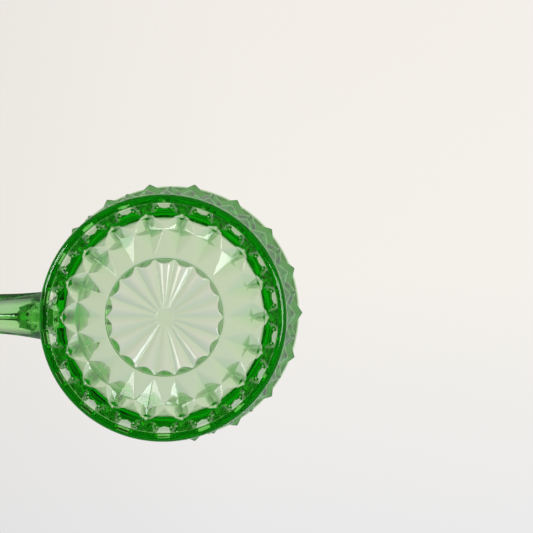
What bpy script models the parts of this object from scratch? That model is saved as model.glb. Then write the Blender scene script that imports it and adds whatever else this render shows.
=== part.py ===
"""A handled mug in pressed green glass, modelled in metres with +Z up.

The real thing is two pieces of glass: the pressed bowl, with its foot, star base
and diamond studs, and the strap handle that is joined to the bowl's side. The
handle points along +X, and the foot stands on z = 0. The origin is under the
middle of the whole mug, so the bowl's axis is a little to the -X side of it.
"""

from math import atan2, cos, pi, radians, sin

import bmesh
import bpy
from mathutils import Matrix, Vector

MM = 0.001
GAP = 0.3                      # clearance between the bowl and the handle, mm

# Driving dimensions, all in millimetres
HEIGHT = 82.0
COLUMNS = 18                   # the pattern repeats every 20 degrees
TURN_STEPS = 4 * COLUMNS       # flats round each turned surface

FOOT_RADIUS = 40.0
FOOT_FLAT_INNER = 37.3         # the narrow flat ring that the mug stands on
FOOT_FLAT_OUTER = 38.3
BASE_Z = 9.7                   # underside of the base, up inside the foot
BASE_RADIUS = 35.6
FLOOR_Z = 13.4                 # inside floor of the cup
FLOOR_RADIUS = 32.2
FLOOR_ROUND = 0.75

WALL_BOTTOM_Z = 11.3           # the outer wall above the foot band
WALL_BOTTOM_RADIUS = 37.15
WALL_KNEE_Z = 58.0             # where the wall starts to flare to the rim
WALL_KNEE_RADIUS = 41.2
WALL_TOP_Z = 76.0
WALL_TOP_RADIUS = 44.6
RIM_RADIUS = 47.1
RIM_INNER_RADIUS = 43.4
RIM_ROUND = 1.8

BAND_TOP_Z = 11.4              # the foot band, notched between the lowest studs
BAND_SHOULDER_Z = 14.05
NOTCH_LOW = (39.97, 4.7, 2.9)  # bottom and top of a notch: radius, height, half width
NOTCH_HIGH = (36.72, 12.3, 1.75)
NOTCH_OUTER_RADIUS = 43.0
NOTCH_OUTER_HALF_WIDTH = 4.2

STUD_FIRST_Z = 11.4            # height of the points of the lowest row
STUD_PITCH = 14.2              # from one row up to the next, half a column round
STUD_HALF_WIDTH = 6.6
STUD_HALF_HEIGHT = 13.4
STUD_TIPS = (41.2, 42.8, 44.3, 45.9, 48.0)    # radius of the points, row by row
FOOT_STUD_REACH = 4.2          # the lowest row is shorter below, over the foot band
BARE_ANGLE = radians(15)       # no studs this close to the handle's plane...
BARE_TOP_Z, BARE_BOTTOM_Z = 52.0, 40.0        # ...above and below these heights

KITE_INNER, KITE_WIDEST, KITE_PEAK, KITE_OUTER = 19.9, 29.0, 33.0, 36.0
KITE_HEIGHT = 2.8
NEIGHBOUR_GAP = 0.08           # left between one kite or ray and the next, each side
RAY_INNER, RAY_WIDEST, RAY_OUTER = 3.0, 17.4, 18.8
RAY_DEPTH = 1.1
RIDGE_RADIUS = 19.4            # raised circle round the star
RIDGE_HALF, RIDGE_HEIGHT = 0.45, 0.35

HANDLE_REACH = 79.0            # from the bowl's axis to the outside of the strap
HANDLE_TOP_Z, HANDLE_BOTTOM_Z = 66.0, 21.0
HANDLE_SQUARENESS = 2.6        # exponent of the superellipse that the strap follows
HANDLE_STATIONS = 32
STRAP_TOP_WIDTH, STRAP_BOTTOM_WIDTH = 15.0, 11.6
STRAP_THICKNESS = 8.4
ROOT_WIDTH = 17.4
ROOT_THICKNESS = 17.0
ROOT_LENGTH = 0.16             # share of the strap's length over which a root narrows

AXIS_X = (STUD_TIPS[-1] - HANDLE_REACH) / 2
EMBED = 1.0                    # how far a stud or kite is sunk before it is joined


def clear_scene():
    for obj in list(bpy.data.objects):
        bpy.data.objects.remove(obj, do_unlink=True)


def make_collection(name):
    collection = bpy.data.collections.new(name)
    bpy.context.scene.collection.children.link(collection)
    return collection


def make_material(name, colour, roughness):
    material = bpy.data.materials.new(name)
    material.use_nodes = True
    shader = material.node_tree.nodes["Principled BSDF"]
    shader.inputs["Base Color"].default_value = (*colour, 1.0)
    shader.inputs["Roughness"].default_value = roughness
    shader.inputs["Metallic"].default_value = 0.0
    shader.inputs["Transmission Weight"].default_value = 1.0
    shader.inputs["IOR"].default_value = 1.5
    return material


def add_object(name, mesh, collection):
    obj = bpy.data.objects.new(name, mesh)
    collection.objects.link(obj)
    return obj


def arc(centre, radius, start, end, steps):
    """Points in the profile's plane, (radius, z), along an arc given in degrees."""
    angles = (radians(start + (end - start) * i / steps) for i in range(steps + 1))
    return [(centre[0] + radius * cos(a), centre[1] + radius * sin(a)) for a in angles]


def wall_radius(z):
    """Outer radius of the wall between the studs, straight up to the knee."""
    if z <= WALL_KNEE_Z:
        share = (z - WALL_BOTTOM_Z) / (WALL_KNEE_Z - WALL_BOTTOM_Z)
        return WALL_BOTTOM_RADIUS + (WALL_KNEE_RADIUS - WALL_BOTTOM_RADIUS) * share
    share = (z - WALL_KNEE_Z) / (WALL_TOP_Z - WALL_KNEE_Z)
    return WALL_KNEE_RADIUS + (WALL_TOP_RADIUS - WALL_KNEE_RADIUS) * share ** 1.5


def wall_slope(z):
    """How far the wall leans outward at a height, in radians."""
    return atan2(wall_radius(z + 0.5) - wall_radius(z - 0.5), 1.0)


def outer_profile():
    """The bowl's outside without studs and notches, from the rim down to the foot."""
    rim = [(RIM_RADIUS, 75.5), (46.8, 74.0), (45.8, 72.0), (44.1, 70.0)]
    wall = [(wall_radius(z), z) for z in (67.0, 63.0, WALL_KNEE_Z, 34.0, BAND_SHOULDER_Z)]
    return rim + wall + [(FOOT_RADIUS, BAND_TOP_Z), (FOOT_RADIUS, 3.0)]


def bowl_profile():
    """Half section of the bowl: up the inside, over the rim, down to the base."""
    inside = [(0.0, FLOOR_Z), (FLOOR_RADIUS / 2, FLOOR_Z)]
    inside += arc((FLOOR_RADIUS, FLOOR_Z + FLOOR_ROUND), FLOOR_ROUND, -90, -5, 3)
    inside += [(33.9, 38.0), (35.6, WALL_KNEE_Z), (38.2, 67.0), (41.4, 75.0)]
    rim = [(RIM_INNER_RADIUS, 80.2)]
    rim += arc((RIM_RADIUS - RIM_ROUND, HEIGHT - RIM_ROUND), RIM_ROUND, 120, 0, 4)
    foot = [(39.6, 1.4), (38.9, 0.4), (FOOT_FLAT_OUTER, 0.0), (FOOT_FLAT_INNER, 0.0), (37.1, 0.6)]
    foot += [(BASE_RADIUS, BASE_Z)]
    base = [(RIDGE_RADIUS + RIDGE_HALF, BASE_Z), (RIDGE_RADIUS, BASE_Z - RIDGE_HEIGHT)]
    base += [(RIDGE_RADIUS - RIDGE_HALF, BASE_Z), (0.0, BASE_Z)]
    return inside + rim + outer_profile() + foot + base


def turned(name, profile, collection):
    """Turn a profile of (radius, z) points in mm round the bowl's axis."""
    mesh = bpy.data.meshes.new(name)
    turn = pi / TURN_STEPS         # half a flat, so no ridge runs along a flat's edge
    points = [(r * cos(turn) * MM, r * sin(turn) * MM, z * MM) for r, z in profile]
    edges = [(i, i + 1) for i in range(len(points) - 1)]
    mesh.from_pydata(points, edges, [])
    obj = add_object(name, mesh, collection)
    obj.location.x = AXIS_X * MM
    screw = obj.modifiers.new("turn", "SCREW")
    screw.steps = TURN_STEPS
    screw.render_steps = TURN_STEPS
    screw.use_merge_vertices = True
    screw.merge_threshold = 0.00001
    screw.use_normal_calculate = False
    return obj


def pointed_kite(bm, along_low, along_high, half_width, height, peak, matrix):
    """A four-sided point on a short straight-sided root that sinks into the glass.

    The kite lies in the local XY plane, its long axis on X from -along_low to
    +along_high. It is widest at x = 0, and the point stands on +Z at x = peak.
    """
    cone = bmesh.ops.create_cone(
        bm, cap_ends=True, segments=4, radius1=1.0, radius2=0.0, depth=height
    )
    for vert in cone["verts"]:
        vert.co.x *= along_high if vert.co.x > 0 else along_low
        vert.co.y *= half_width
        vert.co.z += height / 2
        if vert.co.z > height / 2:
            vert.co.x = peak
    base = next(f for f in {f for v in cone["verts"] for f in v.link_faces} if len(f.verts) == 4)
    root = bmesh.ops.extrude_face_region(bm, geom=[base])["geom"]
    bm.faces.remove(base)
    sunk = [item for item in root if isinstance(item, bmesh.types.BMVert)]
    bmesh.ops.translate(bm, vec=(0.0, 0.0, -EMBED), verts=sunk)
    bmesh.ops.scale(bm, vec=(MM, MM, MM), verts=cone["verts"] + sunk)
    bmesh.ops.transform(bm, matrix=matrix, verts=cone["verts"] + sunk)


def column_angle(column, row):
    """Angle of a pattern column; odd rows are staggered by half a column."""
    return 2 * pi * (column + 0.5 * (row % 2)) / COLUMNS


def hits_handle(angle, z):
    """True where the handle's root takes the place of a stud."""
    from_handle = min(angle, 2 * pi - angle)
    return from_handle < BARE_ANGLE and (z > BARE_TOP_Z or z < BARE_BOTTOM_Z)


def wall_studs(collection):
    """Rows of elongated four-sided points that stand out of the wall."""
    bm = bmesh.new()
    for row, tip_radius in enumerate(STUD_TIPS):
        z = STUD_FIRST_Z + row * STUD_PITCH
        height = (tip_radius - wall_radius(z)) / cos(wall_slope(z))
        below = STUD_HALF_HEIGHT if row > 0 else FOOT_STUD_REACH
        for column in range(COLUMNS):
            angle = column_angle(column, row)
            if hits_handle(angle, z):
                continue
            place = Matrix.Rotation(angle, 4, "Z")
            place @= Matrix.Translation(Vector((wall_radius(z), 0.0, z)) * MM)
            place @= Matrix.Rotation(pi / 2 + wall_slope(z), 4, "Y")
            pointed_kite(bm, STUD_HALF_HEIGHT, below, STUD_HALF_WIDTH, height, 0.0, place)
    return finish_points("wall_studs", bm, collection)


def base_kites(collection):
    """A ring of long points under the base, one in line with each lowest stud."""
    bm = bmesh.new()
    half_width = KITE_WIDEST * sin(pi / COLUMNS) - NEIGHBOUR_GAP
    for column in range(COLUMNS):
        place = Matrix.Rotation(column_angle(column, 0), 4, "Z")
        place @= Matrix.Translation(Vector((KITE_WIDEST, 0.0, BASE_Z)) * MM)
        place @= Matrix.Rotation(pi, 4, "X")
        pointed_kite(bm, KITE_WIDEST - KITE_INNER, KITE_OUTER - KITE_WIDEST, half_width,
                     KITE_HEIGHT, KITE_PEAK - KITE_WIDEST, place)
    return finish_points("base_kites", bm, collection)


def star_rays(collection):
    """A ring of long hollows, to be cut up into the base between the kites."""
    bm = bmesh.new()
    half_width = RAY_WIDEST * sin(pi / COLUMNS) - NEIGHBOUR_GAP
    for column in range(COLUMNS):
        place = Matrix.Rotation(column_angle(column, 1), 4, "Z")
        place @= Matrix.Translation(Vector((RAY_WIDEST, 0.0, BASE_Z)) * MM)
        pointed_kite(bm, RAY_WIDEST - RAY_INNER, RAY_OUTER - RAY_WIDEST, half_width,
                     RAY_DEPTH, 0.0, place)
    return finish_points("star_rays", bm, collection)


def foot_notches(collection):
    """Wedges that cut the foot band back between the lowest studs."""
    bm = bmesh.new()
    for column in range(COLUMNS):
        place = Matrix.Rotation(column_angle(column, 1), 4, "Z")
        wedge = bmesh.ops.create_cube(bm, size=2.0)["verts"]
        for vert in wedge:
            radius, z, half_width = NOTCH_HIGH
            if vert.co.z < 0:
                radius, z, half_width = NOTCH_LOW
            if vert.co.x > 0:
                radius, half_width = NOTCH_OUTER_RADIUS, NOTCH_OUTER_HALF_WIDTH
            vert.co = place @ (Vector((radius, half_width * vert.co.y, z)) * MM)
    return finish_points("foot_notches", bm, collection)


def finish_points(name, bm, collection):
    bmesh.ops.recalc_face_normals(bm, faces=bm.faces[:])
    mesh = bpy.data.meshes.new(name)
    bm.to_mesh(mesh)
    bm.free()
    obj = add_object(name, mesh, collection)
    obj.location.x = AXIS_X * MM
    obj.hide_render = True
    obj.display_type = "WIRE"
    return obj


def boolean(obj, operation, other):
    modifier = obj.modifiers.new(other.name, "BOOLEAN")
    modifier.operation = operation
    modifier.object = other
    modifier.solver = "EXACT"
    modifier.use_self = True       # neighbouring points overlap one another


def build_bowl(parts, cutters):
    bowl = turned("bowl", bowl_profile(), parts)
    boolean(bowl, "UNION", base_kites(cutters))
    boolean(bowl, "DIFFERENCE", star_rays(cutters))
    boolean(bowl, "DIFFERENCE", foot_notches(cutters))
    boolean(bowl, "UNION", wall_studs(cutters))
    bowl.data.materials.append(make_material("bowl_glass", (0.16, 0.55, 0.16), 0.03))
    return bowl


def strap_path(t):
    """Centre line of the strap in (radius, z): t = 0 at the top root, 1 at the bottom."""
    middle_z = (HANDLE_TOP_Z + HANDLE_BOTTOM_Z) / 2
    half_z = (HANDLE_TOP_Z - HANDLE_BOTTOM_Z) / 2
    start = wall_radius(WALL_BOTTOM_Z)
    half_r = HANDLE_REACH - STRAP_THICKNESS / 2 - start
    angle = pi * (0.5 - t)
    power = 2 / HANDLE_SQUARENESS
    rise = abs(sin(angle)) ** power * (1 if angle > 0 else -1)
    return Vector((start + half_r * max(cos(angle), 0.0) ** power, 0.0, middle_z + half_z * rise))


def root_share(t):
    """1 where the strap meets the wall, falling smoothly to 0 along the strap."""
    away = min(t, 1 - t) / ROOT_LENGTH
    return max(0.0, 1.0 - away) ** 2


def strap_section(t):
    """Points of the eight-sided section, as (outward, sideways) offsets in mm."""
    share = root_share(t)
    plain_width = STRAP_TOP_WIDTH + (STRAP_BOTTOM_WIDTH - STRAP_TOP_WIDTH) * t
    half_width = (plain_width + (ROOT_WIDTH - plain_width) * share) / 2
    half_thick = (STRAP_THICKNESS + (ROOT_THICKNESS - STRAP_THICKNESS) * share) / 2
    right = [(1.0, 0.0), (0.62, 0.62), (-0.1, 1.0), (-0.85, 0.6)]
    left = [(out, -side) for out, side in reversed(right[1:])]
    outline = right + [(-1.0, 0.0)] + left
    return [(out * half_thick, side * half_width) for out, side in outline]


def build_handle(parts, cutters):
    """The strap: a loft between sections that follow the superellipse."""
    bm = bmesh.new()
    rings = []
    for station in range(HANDLE_STATIONS + 1):
        t = station / HANDLE_STATIONS
        nudge = 0.5 / HANDLE_STATIONS
        along = strap_path(min(1.0, t + nudge)) - strap_path(max(0.0, t - nudge))
        outward = along.cross(Vector((0.0, 1.0, 0.0))).normalized()
        if station in (0, HANDLE_STATIONS):
            outward = Vector((0.0, 0.0, 1.0 if station == 0 else -1.0))
        centre = strap_path(t)
        ring = []
        for out, side in strap_section(t):
            point = centre + outward * out + Vector((AXIS_X, side, 0.0))
            ring.append(bm.verts.new(point * MM))
        rings.append(ring)
    for here, there in zip(rings, rings[1:]):
        for i in range(len(here)):
            j = (i + 1) % len(here)
            bm.faces.new((here[i], here[j], there[j], there[i]))
    bm.faces.new(rings[0])
    bm.faces.new(rings[-1])
    bmesh.ops.recalc_face_normals(bm, faces=bm.faces[:])
    mesh = bpy.data.meshes.new("handle")
    bm.to_mesh(mesh)
    bm.free()
    handle = add_object("handle", mesh, parts)
    boolean(handle, "DIFFERENCE", wall_clearance(cutters))
    handle.data.materials.append(make_material("handle_glass", (0.18, 0.58, 0.18), 0.03))
    return handle


def wall_clearance(collection):
    """A turned block, the bowl's own outside plus the gap, that trims the strap."""
    flats = 1 / cos(pi / TURN_STEPS)
    side = [(radius * flats + GAP, z) for radius, z in outer_profile()]
    profile = [(0.0, HEIGHT), (side[0][0], HEIGHT)] + side + [(0.0, side[-1][1])]
    block = turned("wall_clearance", profile, collection)
    block.hide_render = True
    block.display_type = "WIRE"
    return block


def main():
    clear_scene()
    parts = make_collection("handled_mug")
    cutters = make_collection("cutters")
    build_bowl(parts, cutters)
    build_handle(parts, cutters)


main()
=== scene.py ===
"""Looks of the handled pressed-glass mug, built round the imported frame.

Everything is in the frame's own axes: the foot stands on z = 0 and the handle
points along +X. The bowl and the handle are fused glass on the real mug, so one
closed mesh stands for both CAD nodes. Lengths are in millimetres until a mesh is
made.
"""

from math import acos, cos, pi, radians, sin, sqrt

import bmesh
import bpy
from mathutils import Matrix, Vector


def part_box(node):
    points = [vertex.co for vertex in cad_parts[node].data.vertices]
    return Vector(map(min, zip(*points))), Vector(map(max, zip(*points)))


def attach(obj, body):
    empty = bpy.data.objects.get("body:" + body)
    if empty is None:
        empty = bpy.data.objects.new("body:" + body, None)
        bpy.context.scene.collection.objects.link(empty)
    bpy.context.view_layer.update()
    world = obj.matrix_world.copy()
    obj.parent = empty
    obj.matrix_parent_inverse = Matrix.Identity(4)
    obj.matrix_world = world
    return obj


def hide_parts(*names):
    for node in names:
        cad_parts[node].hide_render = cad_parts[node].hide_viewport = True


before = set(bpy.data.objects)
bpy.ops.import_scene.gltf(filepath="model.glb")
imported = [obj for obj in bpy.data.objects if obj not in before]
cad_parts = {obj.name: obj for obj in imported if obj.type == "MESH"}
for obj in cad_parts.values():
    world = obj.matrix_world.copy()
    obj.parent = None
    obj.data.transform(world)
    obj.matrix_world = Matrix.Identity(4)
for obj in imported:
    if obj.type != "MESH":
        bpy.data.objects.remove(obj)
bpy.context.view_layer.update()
BOWL_LOW, BOWL_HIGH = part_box("bowl")
HANDLE_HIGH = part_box("handle")[1]

MM = 0.001

# Radii are measured from the bowl's own axis, which lies at x = AXIS_X.
TIP_RADIUS = 48.0                              # points of the top row of studs
AXIS_X = BOWL_LOW.x / MM + TIP_RADIUS
HEIGHT = BOWL_HIGH.z / MM
REACH = HANDLE_HIGH.x / MM - AXIS_X            # from the axis to the outside of the strap

COLUMNS = 18                                   # the pattern repeats every 20 degrees
HALF_COLUMN = 180.0 / COLUMNS                  # degrees
CELLS = (0.0, 0.03, 0.09, 0.18, 0.3, 0.42, 0.5, 0.58, 0.7, 0.82, 0.91, 0.97, 1.0)
SOFT_EDGE = 0.0012                             # rounding of the pattern's edges
WALL_BLEND, BAND_BLEND, FOOT_BLEND, UNDER_BLEND = 0.25, 0.1, 0.05, 0.06    # fillets

# Foot, notched between the lowest studs
FOOT_RADIUS, FOOT_ROUND = 40.0, 2.0
FOOT_FLAT_INNER, FOOT_INNER_ROUND = 37.3, 0.3
CHAMFER = ((39.95, 4.8), (38.42, 7.9), (37.15, 11.3))    # from the foot band to the wall
NOTCH_START, NOTCH_SLOPE = 0.58, 18.0          # share of the half column, mm per share
PILLAR_TOP = (1.0, 11.4)                       # slope and height of the top between notches
PILLAR_REACH = 3.0                             # how far above that top the slope still counts
FOOT_LEVELS = (1.6, 2.6, 3.6)                  # extra rings of the mesh
FOOT_RINGS, FOOT_RING_START, FOOT_RING_PITCH = 10, 0.4, 0.75
NO_BAND = 30.0                                 # a radius well inside the wall

# Cup: (radius, z) pairs of the inside, then of the wall between the studs
FLOOR_RADII, FLOOR_Z = (2.0, 8.0, 14.0, 20.0, 25.0), 13.4
CORNER = ((32.2, 13.4), (32.75, 13.55), (32.95, 14.0))
INSIDE_WALL = ((33.9, 38.0), (35.6, 58.0), (38.2, 67.0), (41.4, 75.0))
INSIDE_TOP_Z = 80.0
WALL_BOTTOM = (37.15, 11.3)
WALL_KNEE = (41.2, 58.0)
WALL_TOP = (44.6, 76.0)
WALL_FLARE = 1.5                               # exponent of the curve above the knee
RIM_RADIUS, RIM_ROUND, RIM_INNER = 47.1, 1.8, 43.4
RIM_BAND = (70.0, 75.5)                        # where the wall swells to the rim
RIM_SWELL_START = 42.5                         # radius that the swelling starts from
RIM_RINGS, RIM_RING_START, RIM_RING_PITCH = 14, 1.6, 0.55

STUD_ROWS, STUD_FIRST_Z, STUD_PITCH = 5, 11.4, 14.2
STUD_TIPS = (41.2, 42.8, 44.3, 45.9, TIP_RADIUS)     # radius of the points, row by row
BARE_ANGLE, BARE_TOP_Z, BARE_BOTTOM_Z = 15.0, 52.0, 40.0     # no studs near the roots

# Underside, inside the foot
BASE_Z = 9.7
CONE_TOP, CONE_FOOT = (35.6, 9.7), (37.1, 0.6)
RAMP, RAMP_SHARES = 1.2, (0.4, 0.65)           # the cone's gentler part between the notches
KITE_INNER, KITE_WIDEST, KITE_PEAK, KITE_OUTER = 19.9, 29.0, 33.0, 36.0
KITE_HALF_WIDTH, KITE_HEIGHT = 5.0, 2.8
KITE_ROUND = 0.12                              # rounding of the ridge
CENTRE_RADIUS, HUB_RADIUS, STAR_RADIUS = 1.2, 2.7, 19.0
FLUTE_DEPTH, FLUTE_START_DEPTH, FLUTE_ROUND = 1.15, 0.25, 0.15
FLUTE_END, FLUTE_START = 0.8, 0.7              # slopes of the flute's outer and inner end
BEAD_RADIUS, BEAD_HALF, BEAD_HEIGHT = 19.5, 0.45, 0.35

# Handle
HANDLE_TOP_Z, HANDLE_BOTTOM_Z = 66.0, 21.0
HANDLE_SQUARENESS = 2.6
STRAP_TOP_WIDTH, STRAP_BOTTOM_WIDTH, STRAP_THICKNESS = 15.0, 11.6, 8.4
ROOT_WIDTH, ROOT_THICKNESS, ROOT_LENGTH = 17.4, 17.0, 0.16
STRAP_SECTION = ((1.0, 0.0), (0.62, 0.62), (-0.1, 1.0), (-0.85, 0.6), (-1.0, 0.0))
STRAP_BEVEL, STRAP_BEVEL_MIDDLE = 0.16, 0.035  # shares of the sides that the bevels take
HANDLE_STATIONS = 120
STATION_NUDGE = 0.004                          # share of the path used to find its direction

# Glass
GLASS_TINT, GLASS_IOR = (0.94, 0.83, 0.90, 1.0), 1.5
GLASS_ABSORPTION, GLASS_DENSITY = (0.19, 0.91, 0.02, 1.0), 116.0
RIPPLE_SCALE, RIPPLE_DETAIL, RIPPLE_STRENGTH, RIPPLE_DEPTH = 70.0, 2.0, 0.12, 0.001
SHARP_ANGLE = 30.0                             # degrees; sharper edges stay crisp

# Stage
FLOOR_COLOUR, FLOOR_ROUGHNESS, FLOOR_SIZE = (0.84, 0.83, 0.81, 1.0), 0.8, 3.0
WORLD_HEIGHT = ((0.0, (0.05, 0.05, 0.05)), (0.40, (0.12, 0.12, 0.12)),
                (0.55, (0.22, 0.22, 0.22)), (0.80, (0.45, 0.45, 0.44)),
                (0.95, (0.90, 0.88, 0.83)), (1.0, (0.91, 0.88, 0.83)))
WORLD_SIDEWAYS = ((0.0, (1.0, 1.0, 1.0)), (0.5, (0.985, 0.985, 0.985)),
                  (1.0, (0.91, 0.91, 0.91)))
WORLD_UPRIGHT = ((0.0, (0.90, 0.93, 1.0)), (0.5, (1.0, 1.0, 1.0)), (1.0, (0.99, 0.98, 0.98)))
WORLD_SPREAD = 0.2                             # half width of the tinted part, as a direction

MUG_CENTRE = (0.0, 0.0, 0.02)                  # metres, as are the lights' places and sizes
LIGHTS = (                                     # name, place, aim, size, watts, colour
    ("window_right", (-0.56, 0.04, -0.80), MUG_CENTRE, (0.34, 0.5), 3.5, (1.0, 0.99, 0.97)),
    ("window_left", (0.75, 0.30, -0.55), MUG_CENTRE, (0.3, 0.5), 4.0, (0.95, 0.98, 1.0)),
    ("overhead", (-0.5, -0.6, 1.2), (0.0, 0.0, 0.0), (0.8, 0.8), 12.0, (1.0, 0.98, 0.95)),
)

CAMERA_DISTANCE, CAMERA_ASIDE, CAMERA_ABOVE = 468.0, 23.2, 13.3     # from the foot's centre
CAMERA_LENS, CAMERA_SENSOR = 98.274, 36.0
CAMERA_CLIP = (0.01, 50.0)                     # metres
AIM_RIGHT, AIM_UP = 0.021512, 0.0069416        # slopes of the line of sight
BOUNCES, GLOSSY_BOUNCES, CLEAR_BOUNCES = 24, 12, 16


# ---------------------------------------------------------------- shapes

def smooth_step(low, high, value):
    """0 up to low, 1 from high on, with an easy start and end."""
    share = min(1.0, max(0.0, (value - low) / (high - low)))
    return share * share * (3 - 2 * share)


def soft_max(a, b, blend=WALL_BLEND):
    """The larger of two values, with the corner between them filleted."""
    return (a + b + sqrt((a - b) ** 2 + blend ** 2)) / 2


def between(low, high, z):
    """Radius at height z on the line through two (radius, z) points."""
    return low[0] + (high[0] - low[0]) * (z - low[1]) / (high[1] - low[1])


def rounded(distance, radius):
    """Distance from a ridge whose edge is rounded off."""
    return sqrt(distance ** 2 + radius ** 2) - radius


def soft_wave(u):
    """0 on even whole numbers, 1 on odd ones, straight between, with soft turns."""
    return acos((1 - SOFT_EDGE) * cos(pi * u)) / pi


def wall_radius(z):
    """Outside of the wall between the studs: straight up to the knee, then flaring."""
    if z <= WALL_KNEE[1]:
        share = (z - WALL_BOTTOM[1]) / (WALL_KNEE[1] - WALL_BOTTOM[1])
        return WALL_BOTTOM[0] + (WALL_KNEE[0] - WALL_BOTTOM[0]) * share
    share = (z - WALL_KNEE[1]) / (WALL_TOP[1] - WALL_KNEE[1])
    return WALL_KNEE[0] + (WALL_TOP[0] - WALL_KNEE[0]) * share ** WALL_FLARE


def stud_missing(row, column_angle):
    """The handle's roots take the place of some studs."""
    z = STUD_FIRST_Z + row * STUD_PITCH
    return abs(column_angle) < BARE_ANGLE and (z > BARE_TOP_Z or z < BARE_BOTTOM_Z)


def stud_height(angle, z):
    """How far the studs stand out of the wall at an angle (degrees) and height."""
    v = (z - STUD_FIRST_Z) / STUD_PITCH
    last = STUD_ROWS - 1
    across = soft_wave(angle / HALF_COLUMN)
    if v < 0 or v > last:
        past = -v if v < 0 else v - last
        row, share = (0 if v < 0 else last), 1 - across - past
    else:
        up = soft_wave(v)
        share = 1 - across - up
        row = 2 * round(v / 2)
        if share < 0:
            row, share = min(last - 1, 2 * int(v / 2) + 1), -share
    if share <= 0:
        return 0.0
    step = 2 * HALF_COLUMN
    shift = HALF_COLUMN * (row % 2)
    column = (round((angle - shift) / step) * step + shift + 180) % 360 - 180
    if stud_missing(row, column):
        return 0.0
    return (STUD_TIPS[row] - wall_radius(STUD_FIRST_Z + row * STUD_PITCH)) * share


def outside_radius(angle, z):
    """Outside of the bowl, with its studs, its notched foot and its rim."""
    radius = wall_radius(z) + stud_height(angle, z)
    band = NO_BAND
    if z < PILLAR_TOP[1] + PILLAR_REACH:
        low, middle, high = CHAMFER
        chamfer = between(low, middle, z) if z < middle[1] else between(middle, high, z)
        across = soft_wave(angle / HALF_COLUMN)
        pillar = FOOT_RADIUS - NOTCH_SLOPE * max(0.0, across - NOTCH_START)
        pillar -= max(0.0, z - PILLAR_TOP[1]) * PILLAR_TOP[0]
        band = -soft_max(-soft_max(chamfer, pillar, BAND_BLEND), -FOOT_RADIUS, FOOT_BLEND)
    if z > RIM_BAND[0] - 1:
        swell = smooth_step(RIM_BAND[0] - 1.5, RIM_BAND[1], z)
        band = RIM_SWELL_START + (RIM_RADIUS - RIM_SWELL_START) * sqrt(swell)
        return min(RIM_RADIUS, soft_max(radius, band))
    return soft_max(radius, band)


def cone_z(radius, across):
    """The foot's inner face: steep behind each notch, a gentler ramp between them."""
    top = CONE_TOP[0] - RAMP * (1 - smooth_step(*RAMP_SHARES, across))
    share = (radius - top) / (CONE_FOOT[0] - top)
    return min(BASE_Z, CONE_TOP[1] + (CONE_FOOT[1] - CONE_TOP[1]) * share)


def tent(low, top, high, value):
    """0 at low and high, 1 at top, straight between."""
    return min((value - low) / (top - low), (high - value) / (high - top))


def kite_height(radius, aside):
    """A ridge that rises slowly outwards and ends in a steep point."""
    half_width = KITE_HALF_WIDTH * tent(KITE_INNER, KITE_WIDEST, KITE_OUTER, radius)
    ridge = KITE_HEIGHT * tent(KITE_INNER, KITE_PEAK, KITE_OUTER, radius)
    return ridge * max(0.0, 1 - aside / half_width)


def under_z(angle, radius):
    """Height of the underside inside the foot, with the kites and the star."""
    off = abs((angle + HALF_COLUMN) % (2 * HALF_COLUMN) - HALF_COLUMN)
    aside = radius * sin(radians(off))
    flat = cone_z(radius, soft_wave(angle / HALF_COLUMN))
    if KITE_INNER < radius < KITE_OUTER:
        kite = BASE_Z - kite_height(radius, rounded(aside, KITE_ROUND))
        return -soft_max(-flat, -kite, UNDER_BLEND)
    if abs(radius - BEAD_RADIUS) < BEAD_HALF:
        return flat - BEAD_HEIGHT * cos(pi / 2 * (radius - BEAD_RADIUS) / BEAD_HALF) ** 2
    if HUB_RADIUS < radius < STAR_RADIUS:
        along = (radius - HUB_RADIUS) / (STAR_RADIUS - HUB_RADIUS)
        flute = FLUTE_DEPTH * along + FLUTE_START_DEPTH
        edge = radius * sin(radians(HALF_COLUMN)) - FLUTE_ROUND
        share = min(1.0, rounded(aside, FLUTE_ROUND) / edge)
        hollow = flute * (1 - (1 - share) ** 2)
        ends = min(FLUTE_END * (STAR_RADIUS - radius), FLUTE_START * (radius - HUB_RADIUS))
        return flat - soft_max(-hollow, -ends, UNDER_BLEND)
    return flat


def arc(centre, radius, start, end, steps):
    """Points (radius, z) on part of a circle, between two angles in degrees."""
    angles = (radians(start + (end - start) * i / steps) for i in range(steps + 1))
    return [(centre[0] + radius * cos(a), centre[1] + radius * sin(a)) for a in angles]


def curve_through(points, steps):
    """A smooth curve through points, as a list of (radius, z)."""
    result = []
    padded = [points[0]] + list(points) + [points[-1]]
    for p0, p1, p2, p3 in zip(padded, padded[1:], padded[2:], padded[3:]):
        for i in range(steps):
            t = i / steps
            result.append(tuple(
                0.5 * (2 * b + (c - a) * t + (2 * a - 5 * b + 4 * c - d) * t * t
                       + (3 * b - a - 3 * c + d) * t ** 3)
                for a, b, c, d in zip(p0, p1, p2, p3)))
    return result + [points[-1]]


def inside_profile():
    """Half section from the middle of the floor up to the top of the rim."""
    floor = [(radius, FLOOR_Z) for radius in FLOOR_RADII]
    corner = curve_through(CORNER, 5)
    side = [corner[-1], *INSIDE_WALL, (RIM_INNER, INSIDE_TOP_Z)]
    top = arc((RIM_RADIUS - RIM_ROUND, HEIGHT - RIM_ROUND), RIM_ROUND, 125, 8, 10)
    return floor + corner[:-1] + curve_through(side, 7) + top


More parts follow.
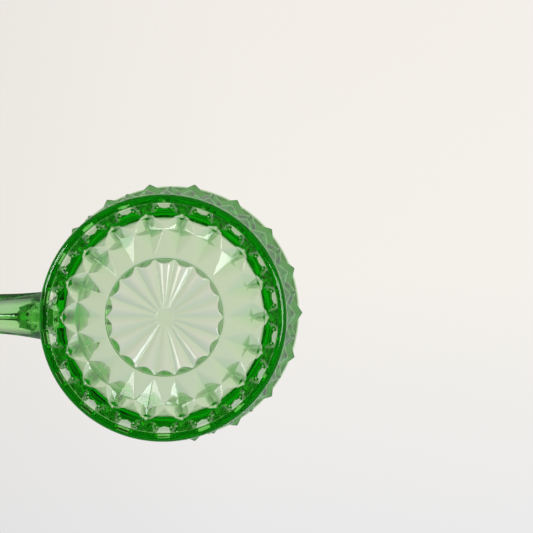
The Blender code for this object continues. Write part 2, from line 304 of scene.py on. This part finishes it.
def ring_heights():
    """Levels of the outer wall, from under the rim down to the foot."""
    levels = set()
    for row in range(-1, STUD_ROWS):
        for cell in CELLS:
            levels.add(round(STUD_FIRST_Z + (row + cell) * STUD_PITCH, 4))
    for i in range(RIM_RINGS):
        levels.add(round(RIM_BAND[0] - RIM_RING_START + RIM_RING_PITCH * i, 4))
    for i in range(FOOT_RINGS):
        levels.add(round(CHAMFER[0][1] - FOOT_RING_START + FOOT_RING_PITCH * i, 4))
    levels.update((FOOT_ROUND, *FOOT_LEVELS, *(z for _, z in CHAMFER)))
    spaced = []
    top = HEIGHT - RIM_ROUND - 0.1
    for z in sorted(levels, reverse=True):
        if FOOT_ROUND <= z < top and (not spaced or spaced[-1] - z > 0.05):
            spaced.append(z)
    return spaced


def under_radii():
    """Radii of the rings of the underside, from the foot's edge to the middle."""
    radii = set()
    steps = 26
    for i in range(steps + 1):
        radii.add(CONE_FOOT[0] + (CONE_TOP[0] - CONE_FOOT[0]) * i / steps)
        radii.add(KITE_INNER + (KITE_WIDEST - KITE_INNER) * i / steps)
        radii.add(KITE_WIDEST + (CONE_TOP[0] - KITE_WIDEST) * i / steps)
    radii.update((KITE_PEAK, KITE_OUTER, CONE_TOP[0] - RAMP))
    for i in range(31):
        radii.add(HUB_RADIUS + (STAR_RADIUS - HUB_RADIUS) * i / 30)
        radii.add(STAR_RADIUS - 2.0 + 0.1 * i)
    radii.update((CENTRE_RADIUS, HUB_RADIUS + 0.1, HUB_RADIUS + 0.25))
    ordered = sorted(radii, reverse=True)
    return [r for i, r in enumerate(ordered) if i == 0 or ordered[i - 1] - r > 0.02]


def bowl_mesh(bm):
    """Closed rings from the cup's floor over the rim and down round the foot."""
    angles = []
    for i in range(2 * COLUMNS):
        cells = CELLS if i % 2 == 0 else tuple(1 - c for c in reversed(CELLS))
        angles += [(i + c) * HALF_COLUMN for c in cells[:-1]]
    rings = []

    def add_ring(place):
        ring = []
        for angle in angles:
            radius, z = place(angle)
            turn = radians(angle)
            ring.append(bm.verts.new((
                (AXIS_X + radius * cos(turn)) * MM, radius * sin(turn) * MM, z * MM)))
        rings.append(ring)

    for radius, z in inside_profile():
        add_ring(lambda angle: (radius, z))
    for z in ring_heights():
        add_ring(lambda angle: (outside_radius(angle, z), z))
    middle = (FOOT_RADIUS - FOOT_ROUND - 0.02, FOOT_ROUND)
    for radius, z in arc(middle, FOOT_ROUND, -15, -90, 6):
        add_ring(lambda angle: (radius, z))
    inner = (FOOT_FLAT_INNER, FOOT_INNER_ROUND)
    for radius, z in arc(inner, FOOT_INNER_ROUND, -90, -150, 4):
        add_ring(lambda angle: (radius, z))
    for radius in under_radii():
        add_ring(lambda angle: (radius, under_z(angle, radius)))

    for upper, lower in zip(rings, rings[1:]):
        for i in range(len(angles)):
            j = (i + 1) % len(angles)
            bm.faces.new((upper[i], upper[j], lower[j], lower[i]))
    for ring in (rings[0], rings[-1]):
        centre = bm.verts.new((AXIS_X * MM, 0.0, ring[0].co.z))
        for i in range(len(angles)):
            bm.faces.new((centre, ring[i], ring[(i + 1) % len(angles)]))


def strap_path(t):
    """Middle of the strap, from the upper root (0) to the lower one (1)."""
    middle_z = (HANDLE_TOP_Z + HANDLE_BOTTOM_Z) / 2
    half_z = (HANDLE_TOP_Z - HANDLE_BOTTOM_Z) / 2
    start = WALL_BOTTOM[0]
    half_r = REACH - STRAP_THICKNESS / 2 - start
    angle = pi * (0.5 - t)
    power = 2 / HANDLE_SQUARENESS
    rise = abs(sin(angle)) ** power * (1 if angle > 0 else -1)
    out = max(cos(angle), 0.0) ** power
    return Vector((start + half_r * out, 0.0, middle_z + half_z * rise))


def strap_section(t):
    """Outline (outwards, sideways) of the strap: six-sided, bevelled, wider at the roots."""
    share = max(0.0, 1.0 - min(t, 1 - t) / ROOT_LENGTH) ** 2
    plain_width = STRAP_TOP_WIDTH + (STRAP_BOTTOM_WIDTH - STRAP_TOP_WIDTH) * t
    half_width = (plain_width + (ROOT_WIDTH - plain_width) * share) / 2
    half_thick = (STRAP_THICKNESS + (ROOT_THICKNESS - STRAP_THICKNESS) * share) / 2
    corners = [(o * half_thick, s * half_width) for o, s in STRAP_SECTION]
    corners += [(o, -s) for o, s in reversed(corners[1:-1])]
    points = []
    for i, corner in enumerate(corners):
        before, after = corners[i - 1], corners[(i + 1) % len(corners)]
        points.append(tuple(c + (b - c) * STRAP_BEVEL for b, c in zip(before, corner)))
        points.append(tuple(c + (b - 2 * c + a) * STRAP_BEVEL_MIDDLE
                            for b, c, a in zip(before, corner, after)))
        points.append(tuple(c + (a - c) * STRAP_BEVEL for c, a in zip(corner, after)))
    return points


def strap_mesh(bm):
    """The strap as one closed loft, its ends inside the wall."""
    rings = []
    for station in range(HANDLE_STATIONS + 1):
        t = 0.5 - 0.5 * cos(pi * station / HANDLE_STATIONS)
        behind, ahead = max(0.0, t - STATION_NUDGE), min(1.0, t + STATION_NUDGE)
        along = strap_path(ahead) - strap_path(behind)
        outward = along.cross(Vector((0.0, 1.0, 0.0))).normalized()
        if t < STATION_NUDGE or t > 1 - STATION_NUDGE:
            outward = Vector((0.0, 0.0, 1.0 if t < 0.5 else -1.0))
        centre = strap_path(t)
        ring = []
        for out, side in strap_section(t):
            point = centre + outward * out + Vector((AXIS_X, side, 0.0))
            ring.append(bm.verts.new(point * MM))
        rings.append(ring)
    for here, there in zip(rings, rings[1:]):
        for i in range(len(here)):
            j = (i + 1) % len(here)
            bm.faces.new((here[i], here[j], there[j], there[i]))
    bm.faces.new(rings[0])
    bm.faces.new(rings[-1])


def object_from(name, fill):
    bm = bmesh.new()
    fill(bm)
    bmesh.ops.recalc_face_normals(bm, faces=bm.faces[:])
    mesh = bpy.data.meshes.new(name)
    bm.to_mesh(mesh)
    bm.free()
    obj = bpy.data.objects.new(name, mesh)
    bpy.context.scene.collection.objects.link(obj)
    return obj


def fused_glass():
    """Bowl and strap joined into one closed body, as the glass is."""
    glass = object_from("glass_mug", bowl_mesh)
    strap = object_from("strap", strap_mesh)
    union = glass.modifiers.new("fuse", "BOOLEAN")
    union.operation = "UNION"
    union.object = strap
    union.solver = "MANIFOLD"
    bpy.context.view_layer.update()
    evaluated = glass.evaluated_get(bpy.context.evaluated_depsgraph_get())
    fused = bpy.data.meshes.new_from_object(evaluated)
    glass.modifiers.clear()
    glass.data = fused
    bpy.data.objects.remove(strap, do_unlink=True)
    fused.shade_smooth()
    fused.set_sharp_from_angle(angle=radians(SHARP_ANGLE))
    return glass


# ---------------------------------------------------------------- materials

def glass_material():
    """Clear glass that takes its green from the thickness the light crosses."""
    material = bpy.data.materials.new("green_pressed_glass")
    material.use_nodes = True
    tree = material.node_tree
    shader = tree.nodes["Principled BSDF"]
    shader.inputs["Base Color"].default_value = GLASS_TINT
    shader.inputs["Roughness"].default_value = 0.0
    shader.inputs["IOR"].default_value = GLASS_IOR
    shader.inputs["Transmission Weight"].default_value = 1.0
    absorb = tree.nodes.new("ShaderNodeVolumeAbsorption")
    absorb.inputs["Color"].default_value = GLASS_ABSORPTION
    absorb.inputs["Density"].default_value = GLASS_DENSITY
    tree.links.new(absorb.outputs["Volume"], tree.nodes["Material Output"].inputs["Volume"])

    place = tree.nodes.new("ShaderNodeTexCoord")
    ripple = tree.nodes.new("ShaderNodeTexNoise")
    ripple.inputs["Scale"].default_value = RIPPLE_SCALE
    ripple.inputs["Detail"].default_value = RIPPLE_DETAIL
    bump = tree.nodes.new("ShaderNodeBump")
    bump.inputs["Strength"].default_value = RIPPLE_STRENGTH
    bump.inputs["Distance"].default_value = RIPPLE_DEPTH
    tree.links.new(place.outputs["Object"], ripple.inputs["Vector"])
    tree.links.new(ripple.outputs["Fac"], bump.inputs["Height"])
    tree.links.new(bump.outputs["Normal"], shader.inputs["Normal"])
    return material


# ---------------------------------------------------------------- stage

def make_floor():
    """A pale floor under the foot, one-sided so that it can be looked through from below."""
    bpy.ops.mesh.primitive_circle_add(vertices=96, radius=FLOOR_SIZE, fill_type="NGON")
    floor = bpy.context.object
    floor.name = "floor"
    material = bpy.data.materials.new("pale_floor")
    material.use_nodes = True
    tree = material.node_tree
    shader = tree.nodes["Principled BSDF"]
    shader.inputs["Base Color"].default_value = FLOOR_COLOUR
    shader.inputs["Roughness"].default_value = FLOOR_ROUGHNESS
    clear = tree.nodes.new("ShaderNodeBsdfTransparent")
    mix = tree.nodes.new("ShaderNodeMixShader")
    side = tree.nodes.new("ShaderNodeNewGeometry")
    tree.links.new(side.outputs["Backfacing"], mix.inputs["Fac"])
    tree.links.new(shader.outputs["BSDF"], mix.inputs[1])
    tree.links.new(clear.outputs["BSDF"], mix.inputs[2])
    tree.links.new(mix.outputs["Shader"], tree.nodes["Material Output"].inputs["Surface"])
    floor.data.materials.append(material)
    floor.visible_glossy = False
    floor.visible_transmission = False
    floor.visible_diffuse = False
    floor.visible_shadow = False


def make_world():
    """A pale wall and ceiling overhead, a dim room at the sides and below."""
    world = bpy.data.worlds.new("pale_room")
    bpy.context.scene.world = world
    world.use_nodes = True
    tree = world.node_tree
    background = tree.nodes["Background"]
    where = tree.nodes.new("ShaderNodeTexCoord")
    split = tree.nodes.new("ShaderNodeSeparateXYZ")
    tree.links.new(where.outputs["Generated"], split.inputs["Vector"])

    def ramp(source, low, high, stops):
        spread = tree.nodes.new("ShaderNodeMapRange")
        spread.inputs["From Min"].default_value = low
        spread.inputs["From Max"].default_value = high
        tree.links.new(source, spread.inputs["Value"])
        colours = tree.nodes.new("ShaderNodeValToRGB")
        elements = colours.color_ramp.elements
        elements[0].position, elements[0].color = stops[0][0], stops[0][1] + (1.0,)
        elements[1].position, elements[1].color = stops[-1][0], stops[-1][1] + (1.0,)
        for position, colour in stops[1:-1]:
            elements.new(position).color = colour + (1.0,)
        tree.links.new(spread.outputs["Result"], colours.inputs["Fac"])
        return colours.outputs["Color"]

    def multiply(first, second):
        node = tree.nodes.new("ShaderNodeVectorMath")
        node.operation = "MULTIPLY"
        tree.links.new(first, node.inputs[0])
        tree.links.new(second, node.inputs[1])
        return node.outputs["Vector"]

    height = ramp(split.outputs["Z"], -1.0, 1.0, WORLD_HEIGHT)
    sideways = ramp(split.outputs["X"], -WORLD_SPREAD, WORLD_SPREAD, WORLD_SIDEWAYS)
    upright = ramp(split.outputs["Y"], -WORLD_SPREAD, WORLD_SPREAD, WORLD_UPRIGHT)
    colour = multiply(multiply(height, sideways), upright)
    tree.links.new(colour, background.inputs["Color"])
    background.inputs["Strength"].default_value = 1.0


def add_light(name, place, target, size, power, colour):
    light = bpy.data.lights.new(name, "AREA")
    light.shape = "RECTANGLE"
    light.size, light.size_y = size
    light.energy = power
    light.color = colour
    obj = bpy.data.objects.new(name, light)
    bpy.context.scene.collection.objects.link(obj)
    obj.location = place
    aim = Vector(target) - Vector(place)
    obj.rotation_euler = aim.to_track_quat("-Z", "Y").to_euler()
    obj.visible_camera = False
    obj.visible_transmission = False
    return obj


def make_lights():
    """Two windows that glint in the glass, and a light over the floor for views from above."""
    for settings in LIGHTS:
        light = add_light(*settings)
        if light.name == "overhead":
            light.visible_glossy = False


def make_camera():
    """Looks up at the foot from below, a little off the bowl's axis."""
    camera = bpy.data.cameras.new("camera")
    camera.sensor_width = CAMERA_SENSOR
    camera.lens = CAMERA_LENS
    camera.clip_start, camera.clip_end = CAMERA_CLIP
    obj = bpy.data.objects.new("camera", camera)
    bpy.context.scene.collection.objects.link(obj)
    right, up = Vector((-1.0, 0.0, 0.0)), Vector((0.0, 1.0, 0.0))
    forward = (Vector((0.0, 0.0, 1.0)) + right * AIM_RIGHT + up * AIM_UP).normalized()
    right = forward.cross(up).normalized()
    up = right.cross(forward)
    turn = Matrix((right, up, -forward)).transposed().to_4x4()
    spot = Vector((AXIS_X - CAMERA_ASIDE, CAMERA_ABOVE, -CAMERA_DISTANCE)) * MM
    obj.matrix_world = Matrix.Translation(spot) @ turn
    bpy.context.scene.camera = obj


def render_look():
    """Enough bounces for light to get through the glass walls."""
    scene = bpy.context.scene
    scene.view_settings.view_transform = "Standard"
    scene.cycles.max_bounces = BOUNCES
    scene.cycles.transmission_bounces = BOUNCES
    scene.cycles.glossy_bounces = GLOSSY_BOUNCES
    scene.cycles.transparent_max_bounces = CLEAR_BOUNCES


make_camera()
make_floor()
make_world()
make_lights()
render_look()

glass = fused_glass()
glass.data.materials.clear()
glass.data.materials.append(glass_material())
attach(glass, "root")
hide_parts("bowl", "handle")
